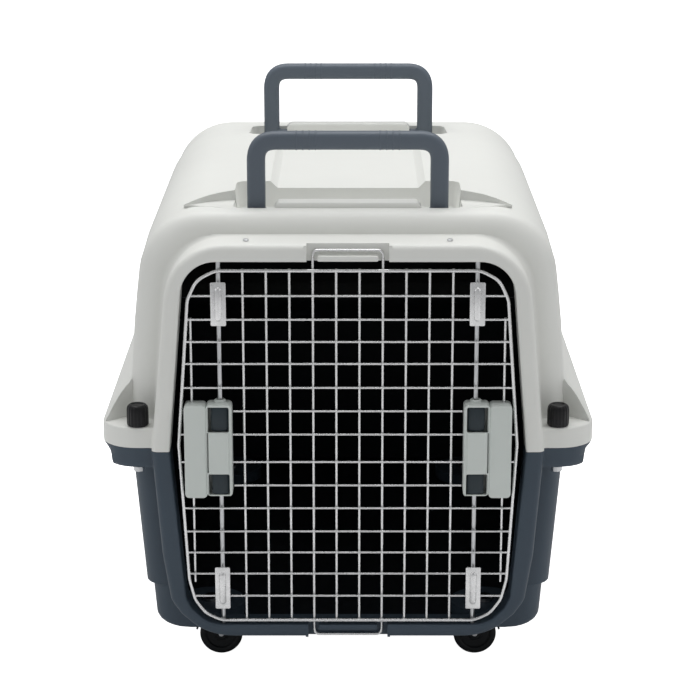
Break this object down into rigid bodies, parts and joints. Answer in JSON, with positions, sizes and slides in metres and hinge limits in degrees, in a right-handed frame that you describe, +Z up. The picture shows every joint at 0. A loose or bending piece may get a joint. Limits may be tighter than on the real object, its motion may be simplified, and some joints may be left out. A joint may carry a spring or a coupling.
{
  "type": "pet transport carrier",
  "caption": "Two-shell pet transport carrier with a wire door, squeeze-latch door bolts, folding roof handles, corner knobs and swivel casters.",
  "frame": {"origin": "centre of the bounding box on the floor under the wheels", "axes": "+Z up, +X to the right seen from the door, the door faces -Y"},
  "size_m": [0.542, 0.684, 0.608],
  "materials": {
    "off_white": "fine-textured moulded polypropylene",
    "slate": "fine-textured moulded polypropylene",
    "handle_grey": "satin moulded plastic",
    "black": "satin moulded plastic",
    "wheel_black": "hard plastic tread",
    "latch_white": "semi-gloss moulded plastic",
    "zinc_wire": "bright plated wire",
    "steel": "plated steel"
  },
  "bodies": {
    "lower_shell": {"lower_shell": "slate", "corner_bolt_front_left": "steel", "corner_bolt_front_right": "steel", "corner_bolt_rear_left": "steel", "corner_bolt_rear_right": "steel", "caster_socket_front_left": "steel", "caster_socket_front_right": "steel", "caster_socket_rear_left": "steel", "caster_socket_rear_right": "steel"},
    "upper_shell": {"upper_shell": "off_white", "lintel_screw_left": "steel", "lintel_screw_right": "steel"},
    "handle_front": {"handle_front": "handle_grey"},
    "handle_rear": {"handle_rear": "handle_grey"},
    "door": {"door_grid": "zinc_wire", "latch_cover_left": "latch_white", "latch_cover_right": "latch_white", "latch_back_left": "latch_white", "latch_back_right": "latch_white", "rod_guide_upper_left": "zinc_wire", "rod_guide_upper_right": "zinc_wire", "rod_guide_lower_left": "zinc_wire", "rod_guide_lower_right": "zinc_wire", "latch_spring_upper_left": "steel", "latch_spring_upper_right": "steel", "latch_spring_lower_left": "steel", "latch_spring_lower_right": "steel"},
    "bolt_upper_left": {"latch_button_upper_left": "handle_grey", "latch_rod_upper_left": "steel"},
    "bolt_lower_left": {"latch_button_lower_left": "handle_grey", "latch_rod_lower_left": "steel"},
    "bolt_upper_right": {"latch_button_upper_right": "handle_grey", "latch_rod_upper_right": "steel"},
    "bolt_lower_right": {"latch_button_lower_right": "handle_grey", "latch_rod_lower_right": "steel"},
    "knob_front_left": {"corner_knob_front_left": "black"},
    "knob_front_right": {"corner_knob_front_right": "black"},
    "knob_rear_left": {"corner_knob_rear_left": "black"},
    "knob_rear_right": {"corner_knob_rear_right": "black"},
    "caster_front_left": {"caster_fork_front_left": "black"},
    "wheel_front_left": {"caster_axle_front_left": "steel", "caster_wheel_front_left_a": "wheel_black", "caster_wheel_front_left_b": "wheel_black"},
    "caster_front_right": {"caster_fork_front_right": "black"},
    "wheel_front_right": {"caster_axle_front_right": "steel", "caster_wheel_front_right_a": "wheel_black", "caster_wheel_front_right_b": "wheel_black"},
    "caster_rear_left": {"caster_fork_rear_left": "black"},
    "wheel_rear_left": {"caster_axle_rear_left": "steel", "caster_wheel_rear_left_a": "wheel_black", "caster_wheel_rear_left_b": "wheel_black"},
    "caster_rear_right": {"caster_fork_rear_right": "black"},
    "wheel_rear_right": {"caster_axle_rear_right": "steel", "caster_wheel_rear_right_a": "wheel_black", "caster_wheel_rear_right_b": "wheel_black"}
  },
  "joints": [
    {"name": "upper_shell_lift", "type": "slide", "parent": "lower_shell", "child": "upper_shell", "axis": [0, 0, 1], "range_m": [0, 0.25]},
    {"name": "handle_front_fold", "type": "hinge", "parent": "upper_shell", "child": "handle_front", "pos_m": [0, -0.243, 0.517], "axis": [-1, 0, 0], "range_deg": [0, 90]},
    {"name": "handle_rear_fold", "type": "hinge", "parent": "upper_shell", "child": "handle_rear", "pos_m": [0, 0.253, 0.517], "axis": [1, 0, 0], "range_deg": [0, 90]},
    {"name": "door_hinge", "type": "hinge", "parent": "lower_shell", "child": "door", "pos_m": [-0.1385, -0.3239, 0.277], "axis": [0, 0, -1], "range_deg": [0, 105]},
    {"name": "bolt_slide_upper_left", "type": "slide", "parent": "door", "child": "bolt_upper_left", "axis": [0, 0, -1], "range_m": [0, 0.012], "stiffness_N_per_m": 300, "springref_m": -0.01, "deforming": ["latch_spring_upper_left"]},
    {"name": "bolt_slide_lower_left", "type": "slide", "parent": "door", "child": "bolt_lower_left", "axis": [0, 0, 1], "range_m": [0, 0.012], "stiffness_N_per_m": 300, "springref_m": -0.01, "deforming": ["latch_spring_lower_left"]},
    {"name": "bolt_slide_upper_right", "type": "slide", "parent": "door", "child": "bolt_upper_right", "axis": [0, 0, -1], "range_m": [0, 0.012], "stiffness_N_per_m": 300, "springref_m": -0.01, "deforming": ["latch_spring_upper_right"]},
    {"name": "bolt_slide_lower_right", "type": "slide", "parent": "door", "child": "bolt_lower_right", "axis": [0, 0, 1], "range_m": [0, 0.012], "stiffness_N_per_m": 300, "springref_m": -0.01, "deforming": ["latch_spring_lower_right"]},
    {"name": "knob_turn_front_left", "type": "hinge", "parent": "upper_shell", "child": "knob_front_left", "pos_m": [-0.23, -0.3075, 0.3], "axis": [0, 0, 1], "continuous": true},
    {"name": "knob_turn_front_right", "type": "hinge", "parent": "upper_shell", "child": "knob_front_right", "pos_m": [0.23, -0.3075, 0.3], "axis": [0, 0, 1], "continuous": true},
    {"name": "knob_turn_rear_left", "type": "hinge", "parent": "upper_shell", "child": "knob_rear_left", "pos_m": [-0.2525, 0.313, 0.3], "axis": [0, 0, 1], "continuous": true},
    {"name": "knob_turn_rear_right", "type": "hinge", "parent": "upper_shell", "child": "knob_rear_right", "pos_m": [0.2525, 0.313, 0.3], "axis": [0, 0, 1], "continuous": true},
    {"name": "caster_swivel_front_left", "type": "hinge", "parent": "lower_shell", "child": "caster_front_left", "pos_m": [-0.158, -0.238, 0.059], "axis": [0, 0, 1], "continuous": true},
    {"name": "wheel_spin_front_left", "type": "hinge", "parent": "caster_front_left", "child": "wheel_front_left", "pos_m": [-0.146, -0.238, 0.0245], "axis": [0, 1, 0], "continuous": true},
    {"name": "caster_swivel_front_right", "type": "hinge", "parent": "lower_shell", "child": "caster_front_right", "pos_m": [0.158, -0.238, 0.059], "axis": [0, 0, 1], "continuous": true},
    {"name": "wheel_spin_front_right", "type": "hinge", "parent": "caster_front_right", "child": "wheel_front_right", "pos_m": [0.146, -0.238, 0.0245], "axis": [0, 1, 0], "continuous": true},
    {"name": "caster_swivel_rear_left", "type": "hinge", "parent": "lower_shell", "child": "caster_rear_left", "pos_m": [-0.158, 0.238, 0.059], "axis": [0, 0, 1], "continuous": true},
    {"name": "wheel_spin_rear_left", "type": "hinge", "parent": "caster_rear_left", "child": "wheel_rear_left", "pos_m": [-0.146, 0.238, 0.0245], "axis": [0, 1, 0], "continuous": true},
    {"name": "caster_swivel_rear_right", "type": "hinge", "parent": "lower_shell", "child": "caster_rear_right", "pos_m": [0.158, 0.238, 0.059], "axis": [0, 0, 1], "continuous": true},
    {"name": "wheel_spin_rear_right", "type": "hinge", "parent": "caster_rear_right", "child": "wheel_rear_right", "pos_m": [0.146, 0.238, 0.0245], "axis": [0, 1, 0], "continuous": true}
  ]
}
